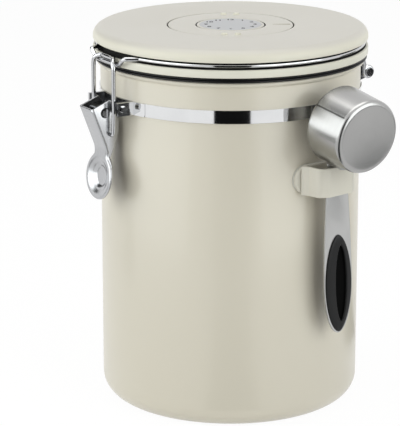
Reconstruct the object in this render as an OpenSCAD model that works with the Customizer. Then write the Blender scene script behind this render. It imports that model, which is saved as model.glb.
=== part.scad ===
// Coffee canister with a one-way valve and date dial in its lid, a wire-bail lever latch,
// a rear wire hinge and a scoop that hangs in a stick-on holder. Sizes in millimetres.
// The base stands on z = 0 with the canister's axis on Z. The latch faces -Y and the hinge +Y.
// Side profiles are drawn as (distance from the axis, height).

/* [Canister] */
// Outside radius of the canister's wall
body_r = 60; // [56:0.5:64]
// Height of the mouth's rim above the table
body_h = 161.4; // [150:0.1:185]
// Thickness of the sheet in the wall and the floor
body_wall = 0.8; // [0.6:0.1:1.4]
// Radius of the rounded edge round the bottom
base_fillet = 10; // [5:0.5:14]
// How far the rolled rim stands out from the wall
rim_out = 1.7; // [1:0.1:2]
// Height of the rolled rim
rim_h = 2.1; // [2:0.1:3]

/* [Lid] */
// How far the lid reaches out past the canister's wall
lid_over = 3.3; // [2.8:0.1:4]
// Thickness of the squeezed gasket
gasket_t = 2.3; // [1.8:0.1:2.6]
// Depth of the groove between the gasket's two lips
gasket_groove = 1.2; // [0.6:0.1:2]
// Height of the lid's lower flange
flange_h = 3.6; // [3:0.1:5]
// Height of the groove that holds the lid wire
groove_h = 3.1; // [2.6:0.1:3.4]
// Depth of the wire's groove, measured in from the lid's edge
groove_depth = 3.1; // [2.8:0.1:3.6]
// Height of the upper cover
cover_h = 5.5; // [5:0.1:7]
// Radius of the cover's rounded top edge
cover_fillet = 4.6; // [2:0.1:4.8]
// Thickness of the cover's roof and wall
cover_wall = 2.0; // [1.6:0.1:2.4]
// Thickness of the lower lid's web
web_t = 2.0; // [1.6:0.1:2.6]
// How far the lower lid reaches down into the mouth
plug_h = 2.0; // [1:0.1:2.4]
// Gap between the plug and the canister's wall
plug_gap = 3.2; // [2.6:0.1:4]

/* [Date dial] */
// Radius of the turning ring
ring_r = 29; // [24:0.5:34]
// Radius of the fixed disc inside the turning ring
hub_r = 15.6; // [13:0.1:18]
// Radius of the printed label on the disc
label_r = 14.2; // [10:0.1:15]
// Thickness of the ring and the disc
dial_t = 2.2; // [1.8:0.1:2.4]
// Distance of the grip nubs from the dial's centre
nub_place_r = 24.6; // [20:0.1:26]
// Radius of one grip nub
nub_r = 1.5; // [1:0.1:2]
// Half the distance between the two nubs of a pair
nub_spread = 3; // [2:0.1:5]
// Turn of the dial's figures about the vertical, so that they read from the right of the latch
dial_turn = 59; // [0:1:360]

/* [Valve] */
// Radius of the valve's silicone flap
flap_r = 8.5; // [7:0.1:10]
// Thickness of the flap
flap_t = 0.8; // [0.5:0.1:1.2]
// How far the flap can lift
flap_lift = 0.5; // [0.3:0.1:0.8]
// Radius of one vent hole
vent_r = 1.1; // [0.8:0.1:1.4]
// Radius of the well round the valve
well_r = 12.2; // [11:0.1:15]
// Thickness of the felt filter
filter_t = 1.2; // [0.8:0.1:1.4]

/* [Band and brackets] */
// Height of the steel band
band_h = 5.9; // [5:0.1:8]
// Thickness of the band
band_t = 0.55; // [0.4:0.05:0.8]
// Distance from the rim down to the band
band_drop = 12.6; // [12:0.1:16]
// Distance of each turned-out band end from the middle of the latch
band_end_t = 13; // [12.6:0.1:15]
// Length of the doubled stretch behind each band end
band_lap = 7; // [4:0.5:12]
// How far the turned-out ends stand out from the wall
ear_out = 7.2; // [6.4:0.1:8]
// Distance of the band's screws from the wall
screw_out = 4.4; // [4:0.1:4.8]
// Thickness of the sheet in the latch and hinge brackets
bracket_t = 1.0; // [0.8:0.1:1.2]

/* [Latch] */
// Diameter of the bail's and the lid's wire
wire_d = 2.0; // [1.8:0.1:2.2]
// Distance of the lever's pin from the canister's wall
pivot_out = 9.2; // [9:0.1:10]
// Height of the lever's pin above the band's lower edge
pivot_up = 0.4; // [0:0.1:1.5]
// Diameter of the lever's pin
pivot_d = 2.4; // [2:0.1:2.8]
// Distance from the lever's pin down to the bail's eye
throw_down = 9.9; // [9:0.1:11]
// Distance from the lever's pin in to the bail's eye
throw_in = 2.2; // [1.5:0.1:2.6]
// Outside width of the lever's channel
lever_w = 12; // [11:0.1:12.6]
// Thickness of the lever's sheet
lever_t = 0.8; // [0.6:0.1:1]
// Distance of the lever's folded top edge from the canister's wall
lever_top_out = 16.1; // [15:0.1:17]
// Height of the lever's folded top edge above the pin
lever_top_up = 1.9; // [1:0.1:3]
// How far the cheeks rise above the pin
cheek_up = 5.7; // [4.5:0.1:6.5]
// Distance from the pin in to the highest place of the cheeks
cheek_in = 2.7; // [1.5:0.1:3.5]
// Gap between the cheeks and the canister's wall
cheek_gap = 2.4; // [2:0.1:3.5]
// Distance of the lever's narrow neck from the canister's wall
neck_out = 7.4; // [6.5:0.1:9]
// Distance from the bail's eye down to the neck
neck_down = 10.9; // [9:0.1:12]
// Radius of the round finger pad at the lever's end
pad_r = 11; // [9:0.1:12]
// Distance of the middle of the pad from the canister's wall
pad_out = 10.2; // [9:0.1:12]
// Distance from the neck down to the middle of the pad
pad_down = 9.2; // [8.5:0.1:11]
// Radius of the flat floor of the pad's dish
dimple_r = 5; // [3:0.1:6.5]
// Depth of the dish
dish_depth = 2.2; // [1:0.1:2.6]
// Width of the pad's turned rim
pad_rim_w = 1.6; // [1:0.1:2]
// Distance of each bail leg from the middle of the latch
bail_half_w = 9.3; // [9.1:0.1:9.5]
// Half the width of the lid wire's straight catch
catch_half_w = 10.6; // [10.4:0.1:11.5]
// How far the catch hangs below the wire's groove
catch_drop = 2; // [1.2:0.1:2.6]
// Sideways reach of the slope that rises from each end of the catch
catch_rise = 4.2; // [3.6:0.1:4.6]

/* [Hinge] */
// Distance of the hinge pin from the canister's wall
hinge_out = 10.5; // [9.5:0.1:12]
// Height of the hinge pin above the band's lower edge
hinge_up = 4.9; // [3:0.1:6]
// Diameter of the hinge pin
hinge_pin_d = 2.4; // [2:0.1:2.8]
// Distance of each bracket ear from the middle of the hinge
hinge_ear_t = 8.2; // [6:0.1:8.8]

/* [Scoop and holder] */
// Turn of the holder about the canister, measured from +X towards +Y
holder_turn = 11; // [0:0.5:30]
// Height of the middle of the holder
holder_z = 115.6; // [90:0.1:120]
// Height of the holder's strap
holder_h = 13.3; // [10:0.1:16]
// Half the length of the holder's glued pad
holder_half = 16; // [13:0.1:18]
// Thickness of the adhesive tape
tape_t = 0.8; // [0.4:0.1:1.2]
// Thickness of the holder's pad and walls
holder_wall = 1.1; // [0.9:0.1:1.2]
// Distance of the strap's front from the canister's wall
strap_out = 12.9; // [12.8:0.1:14]
// Width of the strap's flat front
strap_front_w = 13.8; // [12:0.1:15]
// How far the strap's shoulders lie behind its front
strap_step = 2.5; // [1.5:0.1:2.6]
// Play of the handle's widest part in the holder's slot, each side
slot_play = 2.5; // [2.2:0.1:3]
// Lean of the hanging scoop
scoop_lean = 2; // [0:0.1:2.4]
// Turn of the scoop about its handle as it hangs loosely
scoop_swing = -6; // [-6:0.5:2]
// How far the scoop hangs off the slot's middle
scoop_shift = 1; // [0:0.1:1]
// Distance of the middle of the handle's sheet from the canister's wall
handle_out = 8.8; // [8.4:0.1:8.9]
// Thickness of the handle's sheet
handle_t = 1.2; // [1:0.1:1.4]
// Width of the handle at its neck
neck_w = 10.6; // [8:0.1:12]
// Width of the steel left beside the grip at its widest
handle_side = 0.5; // [0.4:0.1:1]
// Length of the steel left below the grip
handle_end = 0.6; // [0.5:0.1:2]
// Distance from the holder's middle down to the middle of the grip
handle_drop = 49; // [40:0.5:60]
// Half the length of the rubber grip
grip_half = 23; // [18:0.5:28]
// Width of the rubber grip
grip_w = 15; // [12:0.1:15.4]
// How far the grip stands proud of the handle's sheet
grip_proud = 0.9; // [0.5:0.1:1]
// How far the grip's edge laps over the window in the handle
grip_lap = 1.3; // [1:0.1:1.6]
// Length of the raised grip left at each end of its recess
recess_end = 5; // [3:0.1:8]
// Width of the raised grip left at each side of its recess
recess_side = 4.4; // [3.5:0.1:5.5]
// Radius of the cup at its mouth
cup_mouth_r = 17.4; // [15:0.1:19]
// Radius of the cup at its base
cup_base_r = 16.8; // [14:0.1:18]
// Depth of the cup
cup_l = 21; // [16:0.5:26]
// Thickness of the cup's sheet
cup_wall = 0.8; // [0.6:0.1:1]
// Radius of the cup's rounded base edge
cup_fillet = 2.4; // [1.5:0.1:4]
// Downward tilt of the cup's axis
cup_tilt = 7; // [4:0.5:9]

/* [Hidden] */

// Facets of round things as drawn on screen: they are true curves in the solids
$fn = 96;

// Clearances
seat_gap = 0.05;   // between pieces that rest on each other or are glued
run_gap = 0.06;    // radial, between a pin and what turns on it
fit_gap = 0.1;     // between moulded pieces that plug into each other
free_gap = 0.2;    // between wires that hook over each other
turn_gap = 0.3;    // between the turning ring and its neighbours

// Heights of the lid's layers
gasket_z = body_h;
flange_z = gasket_z + gasket_t;
groove_z = flange_z + flange_h;
cover_z = groove_z + groove_h;
lid_top = cover_z + cover_h;

// Radii of the lid
lid_r = body_r + lid_over;
core_r = lid_r - groove_depth;
core_in_r = core_r - 2.2;
plug_r = body_r - body_wall - plug_gap;
gasket_out_r = lid_r - 0.5;

// Levels in the dial's recess
dial_top = lid_top - fit_gap;
dial_z = dial_top - dial_t;
recess_floor_z = dial_z - fit_gap;
recess_floor_t = 1.6;
recess_r = ring_r + turn_gap;
ring_in_r = hub_r + turn_gap;
stem_r = hub_r - 1.3;
step_h = 0.9;      // height of the ring's step that the disc holds down
label_t = 0.4;

// Levels in the valve
web_z = flange_z + 0.7;
web_top = web_z + web_t;
stem_hole_r = 1.7;
flap_stem_r = stem_hole_r - 0.15;
barb_r = 2.5;
barb_h = 0.8;
barb_top = web_z - flap_lift - seat_gap;
filter_z = barb_top - barb_h - 0.3 - filter_t;
well_z = filter_z - 0.7;
cap_t = 1.1;
well_wall = 1.6;

// Band
band_z = body_h - band_drop - band_h;
band_top = band_z + band_h;
band_mid = band_z + band_h / 2;
band_in_r = body_r + seat_gap;
band_r = band_in_r + band_t;
lap_r = band_r + band_t;
ear_r = body_r + ear_out;

// Latch
screw_d = 2;
screw_head_r = 1.5;
screw_head_h = 1;
nut_r = 2.1;
nut_h = 1;
nut_past = 0.2;    // length of the screw's tip past its nut
screw_r_place = body_r + screw_out;
saddle_r = band_in_r + bracket_t;
saddle_end_t = band_end_t - fit_gap;
pivot = [body_r + pivot_out, band_z + pivot_up];
eye = [pivot[0] - throw_in, pivot[1] - throw_down];
lug_t = lever_w / 2 - lever_t - fit_gap - bracket_t / 2;
lug_r = 3;
lever_top = pivot + [lever_top_out - pivot_out, lever_top_up];
cheek_top = pivot + [-cheek_in, cheek_up];
lever_neck = [body_r + neck_out, eye[1] - neck_down];
cheek_back = body_r + cheek_gap;
pad_mid = [body_r + pad_out, lever_neck[1] - pad_down];
pad_lean = 8;
catch_z = groove_z - catch_drop;
catch_r = lid_r + wire_d / 2 + free_gap;
bail_r = catch_r + wire_d + free_gap;
bail_top_z = catch_z + wire_d + free_gap;
wire_lap = 0.1;    // how far a straight runs into a bend
bend_fat = 0.03;   // how much thicker a bend is than a straight

// Wire in the lid's groove
tight_bend = wire_d / 2 + seat_gap;    // radius of the wire's bends at its middle
wire_r = core_r + wire_d / 2 + fit_gap;
wire_z = groove_z + groove_h / 2;
front_a = 19;      // half angle left open at the latch
rear_a = 15;       // half angle left open at the hinge

// Hinge
hinge = [body_r + hinge_out, band_z + hinge_up];
coil_r = hinge_pin_d / 2 + run_gap + (wire_d + bend_fat) / 2;
coil_t = hinge_ear_t + bracket_t / 2 + fit_gap * 3 + wire_d / 2;
pin_head_h = 0.8;

// Holder and scoop
tape_r = body_r + seat_gap;
pad_in_r = tape_r + tape_t + seat_gap;
pad_out_r = pad_in_r + holder_wall;
handle_w = grip_w + 2 * handle_side;
handle_tip = grip_half + handle_end;
slot_half = handle_w / 2 + slot_play;
strap_r = body_r + strap_out;
strap_in_r = strap_r - holder_wall;
strap_shoulder_r = strap_r - strap_step;
strap_side = slot_half + holder_wall;
holder_top = holder_z + holder_h / 2;
handle_r = body_r + handle_out;
widest_z = holder_z - handle_drop;
neck_z = holder_top - 2;
tab_t = 1.2;
tab_l = 10;
tab_gap = 0.25;    // between the scoop's shoulder and the holder's top
cup_mouth_lowest = holder_top + tab_gap + tab_t;
cup_mid = [handle_r + cup_mouth_r * sin(cup_tilt) - handle_t / 2,
    cup_mouth_lowest + cup_mouth_r * cos(cup_tilt) + 0.35];
outline_steps = 14;

// Sheet cut to a side profile and laid across the latch, t from its middle
module across(t, thick) {
    translate([t, 0, 0]) rotate([90, 0, -90]) linear_extrude(thick, center = true) children();
}

// Everything drawn for the latch side, turned round to the hinge
module at_hinge() {
    rotate([0, 0, 180]) children();
}

// Everything drawn with +X pointing away from the canister, turned to the holder
module at_holder() {
    rotate([0, 0, holder_turn]) children();
}

// The same, hanging in the slot as the loose scoop does
module at_scoop() {
    at_holder() translate([0, 0, holder_z]) rotate([scoop_lean, 0, 0])
        translate([handle_r, scoop_shift, -holder_z]) rotate([0, 0, scoop_swing])
            translate([-handle_r, 0, 0]) children();
}

// Round bar between two points
module rod(p, q, d) {
    v = q - p;
    translate(p) rotate([0, acos(v[2] / norm(v)), atan2(v[1], v[0])]) cylinder(d = d, h = norm(v));
}

function unit(v) = v / norm(v);
function trim(p, i, r) = i == 0 || i == len(p) - 1 ? 0
    : r * tan(acos(unit(p[i] - p[i - 1]) * unit(p[i + 1] - p[i])) / 2);

// Wire that runs along points with a true bend of radius r at each inner one; the straights
// end a little way inside the bends, which are a hair thicker
module wire(p, d, r) {
    for (i = [0 : len(p) - 2]) {
        u = unit(p[i + 1] - p[i]);
        rod(p[i] + u * (trim(p, i, r) - wire_lap), p[i + 1] - u * (trim(p, i + 1, r) - wire_lap), d);
    }
    for (i = [1 : len(p) - 2]) {
        u = unit(p[i] - p[i - 1]);
        v = unit(p[i + 1] - p[i]);
        m = unit(v - u * (u * v));
        n = cross(u, m);
        c = p[i] - u * trim(p, i, r) + m * r;
        multmatrix([[-m[0], u[0], n[0], c[0]], [-m[1], u[1], n[1], c[1]],
            [-m[2], u[2], n[2], c[2]], [0, 0, 0, 1]])
            rotate_extrude(angle = acos(u * v)) translate([r, 0]) circle(d = d + bend_fat);
    }
}

// Half section of a drum whose bottom edge is rounded
module drum_half(r, h, fillet) {
    square([r - fillet, h]);
    translate([0, fillet]) square([r, h - fillet]);
    intersection() {
        translate([r - fillet, fillet]) circle(r = fillet);
        square([r, fillet]);
    }
}

// Half section of a flat ring
module ring_half(r_in, r_out, z, h) {
    translate([r_in, z]) square([r_out - r_in, h]);
}

// Curved sheet round the canister, centred on the latch, reaching half_a degrees each way
module curved_sheet(r_in, r_out, z, h, half_a) {
    rotate([0, 0, -90 - half_a]) rotate_extrude(angle = 2 * half_a) ring_half(r_in, r_out, z, h);
}

module canister_body() {
    rim_z = body_h - rim_h;
    inner_r = body_r - body_wall;
    color("#d8d3c6") rotate_extrude() {
        difference() {
            drum_half(body_r, body_h - rim_h / 2, base_fillet);
            translate([0, body_wall]) drum_half(inner_r, body_h, base_fillet - body_wall);
        }
        ring_half(inner_r, body_r + rim_out - rim_h / 2, rim_z, rim_h);
        translate([body_r + rim_out - rim_h / 2, body_h - rim_h / 2]) circle(d = rim_h);
    }
}

// Children kept only where they are farther than r from the axis
module outside(r) {
    difference() {
        children();
        translate([0, 0, band_z - band_h]) cylinder(r = r, h = 4 * band_h);
    }
}

// Holes for the screws that draw the band's ends together
module screw_holes() {
    across(0, 4 * band_end_t) translate([screw_r_place, band_mid]) circle(d = screw_d + 0.2);
}

module clamp_band() {
    gap_half = band_end_t + band_t;
    ear_in = band_in_r * cos(asin(band_end_t / band_in_r)) + 0.28;
    color("#b9bcc0") difference() {
        translate([0, 0, band_z]) linear_extrude(band_h) {
            difference() {
                circle(r = band_r);
                circle(r = band_in_r);
                translate([-gap_half, -lap_r]) square([2 * gap_half, lap_r]);
            }
            for (side = [0, 1]) mirror([side, 0]) {
                intersection() {
                    difference() {
                        circle(r = lap_r);
                        circle(r = band_r - 0.1);
                    }
                    translate([gap_half, -lap_r]) square([band_lap, lap_r]);
                }
                translate([band_end_t, -ear_r]) square([2 * band_t, ear_r - ear_in]);
            }
        }
        screw_holes();
    }
}

module latch_bracket() {
    saddle_a = asin((saddle_end_t - bracket_t / 2) / saddle_r);
    color("#b4b7bb") difference() {
        union() {
            curved_sheet(band_in_r, saddle_r, band_z, band_h, saddle_a);
            for (side = [-1, 1]) outside(saddle_r - 0.5) {
                across(side * (saddle_end_t - bracket_t / 2), bracket_t)
                    translate([body_r - 1, band_z]) square([ear_r - body_r + 1, band_h]);
                across(side * lug_t, bracket_t) {
                    translate(pivot) circle(r = lug_r);
                    polygon([[saddle_r - 0.8, band_z], pivot - [0, lug_r], pivot + [0, lug_r],
                        [saddle_r - 0.8, pivot[1] + lug_r]]);
                }
            }
        }
        screw_holes();
        across(0, lever_w) translate(pivot) circle(d = pivot_d);
    }
}

module band_screws() {
    head_t = band_end_t + 2 * band_t + seat_gap;
    tip_t = saddle_end_t - bracket_t - nut_h - nut_past;
    color("#c8cacd") for (side = [-1, 1]) {
        across(side * (head_t + tip_t) / 2, head_t - tip_t) translate([screw_r_place, band_mid])
            circle(d = screw_d);
        across(side * (head_t + screw_head_h / 2), screw_head_h)
            translate([screw_r_place, band_mid]) circle(r = screw_head_r);
    }
}

module band_nuts() {
    nut_t = saddle_end_t - bracket_t - seat_gap - nut_h / 2;
    color("#aeb1b5") for (side = [-1, 1])
        across(side * nut_t, nut_h) translate([screw_r_place, band_mid]) difference() {
            circle(r = nut_r, $fn = 6);
            circle(d = screw_d);
        }
}

module lever_pin() {
    head_t = lever_w / 2 + run_gap;
    color("#c8cacd") {
        across(0, 2 * head_t) translate(pivot) circle(d = pivot_d);
        for (side = [-1, 1])
            across(side * (head_t + 0.35), 0.7) translate(pivot) circle(d = pivot_d + 1.4);
    }
}

// Side profile of one cheek of the lever
module cheek() {
    polygon([lever_top, cheek_top, [cheek_back + 0.7, pivot[1] + 1.2],
        [cheek_back, (pivot[1] + eye[1]) / 2], [cheek_back, eye[1] + wire_d / 2], lever_neck]);
}

// Dished round finger pad, drawn flat with its hollow facing +Z
module finger_pad() {
    slant = lever_t * 0.4;
    rim_drop = lever_t * 0.6;
    rotate_extrude() polygon([[0, -dish_depth], [dimple_r, -dish_depth],
        [pad_r - pad_rim_w, -rim_drop], [pad_r, 0], [pad_r, lever_t],
        [pad_r - pad_rim_w - slant, lever_t - rim_drop], [dimple_r - slant, lever_t - dish_depth],
        [0, lever_t - dish_depth]]);
}

module lever() {
    run = unit(lever_neck - lever_top);
    inward = [run[1], -run[0]] * lever_t;
    pad_run = [sin(pad_lean), -cos(pad_lean)];
    pad_edge = pad_mid - pad_run * (pad_r - 2);
    color("#c3c5c8") difference() {
        union() {
            for (side = [-1, 1]) across(side * (lever_w - lever_t) / 2, lever_t) cheek();
            across(0, lever_w) polygon([lever_top, lever_neck, pad_edge,
                pad_edge + [-lever_t, 0], lever_neck + inward, lever_top + inward]);
            translate([0, -pad_mid[0], pad_mid[1]]) rotate([90 - pad_lean, 0, 0]) finger_pad();
        }
        across(0, 2 * lever_w) {
            translate(pivot) circle(d = pivot_d + 2 * run_gap);
            translate(eye) circle(d = wire_d + 2 * run_gap);
        }
    }
}

module bail_wire() {
    leg_in = lever_w / 2 - lever_t - 0.6;
    color("#c6c8cb") wire([
        for (side = [-1, 1])
            for (k = [0 : 3])
                let (i = side < 0 ? k : 3 - k)
                [side * (i == 0 ? leg_in : bail_half_w),
                    -[eye[0], eye[0], bail_r, catch_r][i],
                    i < 2 ? eye[1] : bail_top_z]
    ], wire_d, tight_bend);
}

module hinge_bracket() {
    plate_in = band_r + seat_gap;
    plate_out = plate_in + bracket_t;
    lip = 1.2;     // how far the plate stands past the band's edges
    color("#b4b7bb") at_hinge() difference() {
        union() {
            curved_sheet(plate_in, plate_out, band_z - lip, band_h + 2 * lip,
                asin(hinge_ear_t / plate_out));
            for (side = [-1, 1]) outside(plate_out - 0.5) across(side * hinge_ear_t, bracket_t) {
                translate(hinge) circle(r = hinge_pin_d / 2 + 1.8);
                polygon([[plate_in - 1, band_z - lip], hinge + [1.2, -2.7], hinge + [0.6, 2.9],
                    [plate_in - 1, band_top + lip]]);
            }
        }
        across(0, 4 * hinge_ear_t) translate(hinge) circle(d = hinge_pin_d);
    }
}

module hinge_pin() {
    head_t = coil_t + wire_d / 2 + fit_gap;
    color("#c8cacd") at_hinge() {
        across(0, 2 * head_t) translate(hinge) circle(d = hinge_pin_d);
        for (side = [-1, 1])
            across(side * (head_t + pin_head_h / 2), pin_head_h) translate(hinge)
                circle(d = hinge_pin_d + 1.6);
    }
}

// Point on the lid's groove, a degrees from the given heading
function on_groove(heading, a) = [wire_r * cos(heading + a), wire_r * sin(heading + a), wire_z];
function along_groove(heading, a) = [-sin(heading + a), cos(heading + a), 0];

module lid_wire() {
    rear_lead = 3.2;
    front_lead = 1.5;
    out_z = wire_z - fit_gap;
    leg_r = lid_r + wire_d / 2 + 0.5;
    corner_t = catch_half_w + catch_rise;
    corner_r = catch_r + free_gap;
    color("#c6c8cb") {
        for (side = [-1, 1]) {
            a_front = -90 + side * front_a;
            a_rear = 90 - side * rear_a;
            rotate([0, 0, side > 0 ? a_front : a_rear])
                rotate_extrude(angle = abs(a_rear - a_front) > 180 ? 360 - abs(a_rear - a_front)
                    : abs(a_rear - a_front)) translate([wire_r, wire_z]) circle(d = wire_d + bend_fat);
            rear = on_groove(90, -side * rear_a);
            wire([rear, rear + side * along_groove(90, -side * rear_a) * rear_lead,
                [side * coil_t, leg_r, out_z],
                [side * coil_t, hinge[0] - coil_r, hinge[1] + 4],
                [side * coil_t, hinge[0] - coil_r, hinge[1]]], wire_d, tight_bend);
            translate([side * coil_t, hinge[0], hinge[1]]) rotate([0, 90, 0])
                rotate_extrude() translate([coil_r, 0]) circle(d = wire_d + bend_fat);
        }
        left = on_groove(-90, -front_a);
        right = on_groove(-90, front_a);
        wire([left, left + along_groove(-90, -front_a) * front_lead,
            [-corner_t, -corner_r, out_z], [-catch_half_w, -catch_r, catch_z],
            [catch_half_w, -catch_r, catch_z], [corner_t, -corner_r, out_z],
            right - along_groove(-90, front_a) * front_lead, right], wire_d, tight_bend);
    }
}

module lid_cover() {
    inner_top = lid_top - cover_wall;
    color("#dcd8cc") rotate_extrude() {
        difference() {
            translate([0, lid_top]) mirror([0, 1]) drum_half(lid_r, cover_h, cover_fillet);
            translate([0, inner_top]) mirror([0, 1])
                drum_half(lid_r - cover_wall, cover_h, cover_fillet - cover_wall);
            translate([0, recess_floor_z]) square([recess_r, cover_h]);
        }
        ring_half(stem_r + fit_gap, recess_r + cover_wall, recess_floor_z - recess_floor_t,
            recess_floor_t);
        ring_half(recess_r, recess_r + cover_wall, recess_floor_z - recess_floor_t,
            inner_top - recess_floor_z + recess_floor_t + 0.1);
        ring_half(core_in_r - fit_gap - 1.6, lid_r - cover_wall + 0.1, cover_z, 1.4);
        ring_half(core_in_r - fit_gap - 1.6, core_in_r - fit_gap, cover_z - 3, 3.2);
    }
}

module lid_base() {
    color("#d9d5c9") difference() {
        rotate_extrude() {
            ring_half(0, core_in_r + 1, web_z, web_t);
            ring_half(plug_r - 2, lid_r, flange_z, web_z - flange_z + web_t);
            ring_half(core_in_r, lid_r, flange_z, flange_h);
            ring_half(core_in_r, core_r, groove_z - 0.1, groove_h + 0.1 - seat_gap);
            ring_half(plug_r - 2, plug_r, body_h - plug_h, plug_h + gasket_t + 0.1);
            ring_half(well_r, well_r + well_wall, well_z, web_z - well_z + 0.1);
        }
        cylinder(r = stem_hole_r, h = lid_top);
        for (i = [0 : 5]) rotate([0, 0, 60 * i]) translate([flap_r * 0.62, 0, 0])
            cylinder(r = vent_r, h = lid_top);
    }
}

module lid_gasket() {
    slit = 0.5;
    color("#1c1c1d") rotate_extrude() difference() {
        ring_half(plug_r + fit_gap, gasket_out_r, gasket_z + seat_gap, gasket_t - 2 * seat_gap);
        ring_half(gasket_out_r - gasket_groove, gasket_out_r + 1, gasket_z + (gasket_t - slit) / 2,
            slit);
    }
}

module date_ring() {
    pointer_w = 0.7;
    pointer_l = 8;
    color("#dcd8cc") difference() {
        union() {
            rotate_extrude() difference() {
                ring_half(stem_r + turn_gap, ring_r, dial_z, dial_t);
                ring_half(0, ring_in_r, dial_z + step_h, dial_t);
            }
            rotate([0, 0, dial_turn]) for (end = [-1, 1]) for (side = [-1, 1])
                translate([side * nub_spread, end * nub_place_r, dial_top - 0.5])
                    cylinder(r = nub_r, h = 1.3);
        }
        rotate([0, 0, dial_turn]) translate([ring_r - 1.6 - pointer_l, -pointer_w / 2, dial_top - 0.4])
            cube([pointer_l, pointer_w, 1]);
    }
}

module dial_hub() {
    color("#d6d2c6") rotate_extrude() difference() {
        union() {
            ring_half(0, hub_r, dial_z + step_h + fit_gap, dial_t - step_h - fit_gap);
            ring_half(0, stem_r, recess_floor_z - recess_floor_t - 1, dial_t);
            ring_half(0, stem_r, recess_floor_z - recess_floor_t - 1,
                recess_floor_t + 1 + fit_gap * 2 + step_h + 0.2);
            ring_half(0, stem_r + 0.8, recess_floor_z - recess_floor_t - 1, 0.9);
        }
        ring_half(0, label_r + seat_gap, dial_top - label_t, label_t + 1);
        ring_half(0, stem_r - 1.6, 0, recess_floor_z - 0.2);
    }
}

module dial_label() {
    color("#c9ccd1") translate([0, 0, dial_top - label_t]) cylinder(r = label_r, h = label_t);
}

module valve_flap() {
    color("#e8e6e0") {
        translate([0, 0, web_top + seat_gap]) cylinder(r = flap_r, h = flap_t);
        translate([0, 0, barb_top - barb_h])
            cylinder(r = flap_stem_r, h = web_top + seat_gap + 0.2 - barb_top + barb_h);
        translate([0, 0, barb_top - barb_h]) cylinder(r = barb_r, h = barb_h);
    }
}

module valve_filter() {
    color("#f0efeb") translate([0, 0, filter_z]) cylinder(r = well_r - fit_gap, h = filter_t);
}

module valve_cap() {
    slot_w = 1.6;
    slot_pitch = 3.6;
    slot_reach = 9;     // distance from the middle to the slots' ends
    color("#d9d5c9") difference() {
        translate([0, 0, well_z - seat_gap - cap_t]) {
            cylinder(r = well_r + well_wall, h = cap_t);
            difference() {
                cylinder(r = well_r - fit_gap, h = cap_t + 0.65);
                translate([0, 0, cap_t]) cylinder(r = well_r - 1.3, h = 2);
            }
        }
        for (i = [-2 : 2]) let (x = i * slot_pitch, half = sqrt(pow(slot_reach, 2) - x * x))
            translate([x - slot_w / 2, -half, 0]) cube([slot_w, 2 * half, lid_top]);
    }
}

// Outline of the glued pad as seen from the front, drawn along Y and Z
module pad_outline() {
    end_y = holder_half - holder_h / 2;
    rotate([90, 0, 90]) linear_extrude(2 * body_r) translate([0, holder_z]) {
        square([2 * end_y, holder_h], center = true);
        for (side = [-1, 1]) translate([side * end_y, 0]) circle(d = holder_h);
    }
}

module scoop_holder() {
    color("#dcd8cc") at_holder() union() {
        intersection() {
            rotate_extrude() ring_half(pad_in_r, pad_out_r, holder_z - holder_h, 2 * holder_h);
            pad_outline();
        }
        difference() {
            root_r = pad_in_r * cos(asin(strap_side / pad_in_r)) - holder_wall;
            translate([0, 0, holder_z - holder_h / 2]) linear_extrude(holder_h) difference() {
                polygon([[root_r, -strap_side], [strap_shoulder_r, -strap_side],
                    [strap_r, -strap_front_w / 2], [strap_r, strap_front_w / 2],
                    [strap_shoulder_r, strap_side], [root_r, strap_side]]);
                polygon([[root_r - holder_wall, -slot_half], [strap_shoulder_r - 0.1, -slot_half],
                    [strap_in_r, -strap_front_w / 2 + 0.5], [strap_in_r, strap_front_w / 2 - 0.5],
                    [strap_shoulder_r - 0.1, slot_half], [root_r - holder_wall, slot_half]]);
            }
            cylinder(r = pad_in_r, h = lid_top);
        }
    }
}

module holder_tape() {
    color("#cfcfcb") at_holder() intersection() {
        rotate_extrude() ring_half(tape_r, tape_r + tape_t, holder_z - holder_h, 2 * holder_h);
        pad_outline();
    }
}

// Half width of the handle at height z
function handle_half(z) = z > widest_z
    ? handle_w / 2 - (handle_w - neck_w) / 2 * pow((z - widest_z) / (neck_z - widest_z), 1.7)
    : handle_w / 2 * sqrt(max(0, 1 - pow((widest_z - z) / handle_tip, 2)));

// Pointed oval: half width w, half length l, centred at height z
function oval(w, l, z) = [for (i = [0 : 2 * outline_steps - 1])
    let (a = 180 * i / outline_steps) [w * sign(sin(a)) * pow(abs(sin(a)), 1.15), z - l * cos(a)]];

// Plate cut to an outline of sideways place and height, r from the axis to its back
module plate(r, thick) {
    translate([r, 0, 0]) rotate([90, 0, 90]) linear_extrude(thick) children();
}

module cup_shape(r_mouth, r_base, l, fillet) {
    rotate_extrude() {
        polygon([[0, 0], [r_mouth, 0], [r_base, l - fillet], [0, l - fillet]]);
        square([r_base - fillet, l]);
        intersection() {
            translate([r_base - fillet, l - fillet]) circle(r = fillet);
            translate([0, l - fillet]) square([r_base, fillet]);
        }
    }
}

// Cone that follows the cup's outside, extra larger and longer all round
module cup_cone(extra) {
    slope = (cup_mouth_r - cup_base_r) / (cup_l - cup_fillet);
    past = 5;
    translate([cup_mid[0], 0, cup_mid[1]]) rotate([0, 90 + cup_tilt, 0])
        translate([0, 0, -past]) cylinder(r1 = cup_mouth_r + extra + slope * past,
            r2 = cup_base_r + extra, h = cup_l - cup_fillet + past);
}

module scoop_cup() {
    color("#b3b1ae") at_scoop() translate([cup_mid[0], 0, cup_mid[1]])
        rotate([0, 90 + cup_tilt, 0]) difference() {
            cup_shape(cup_mouth_r, cup_base_r, cup_l, cup_fillet);
            translate([0, 0, -0.01]) cup_shape(cup_mouth_r - cup_wall, cup_base_r - cup_wall,
                cup_l - cup_wall + 0.01, cup_fillet - cup_wall);
        }
}

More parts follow.
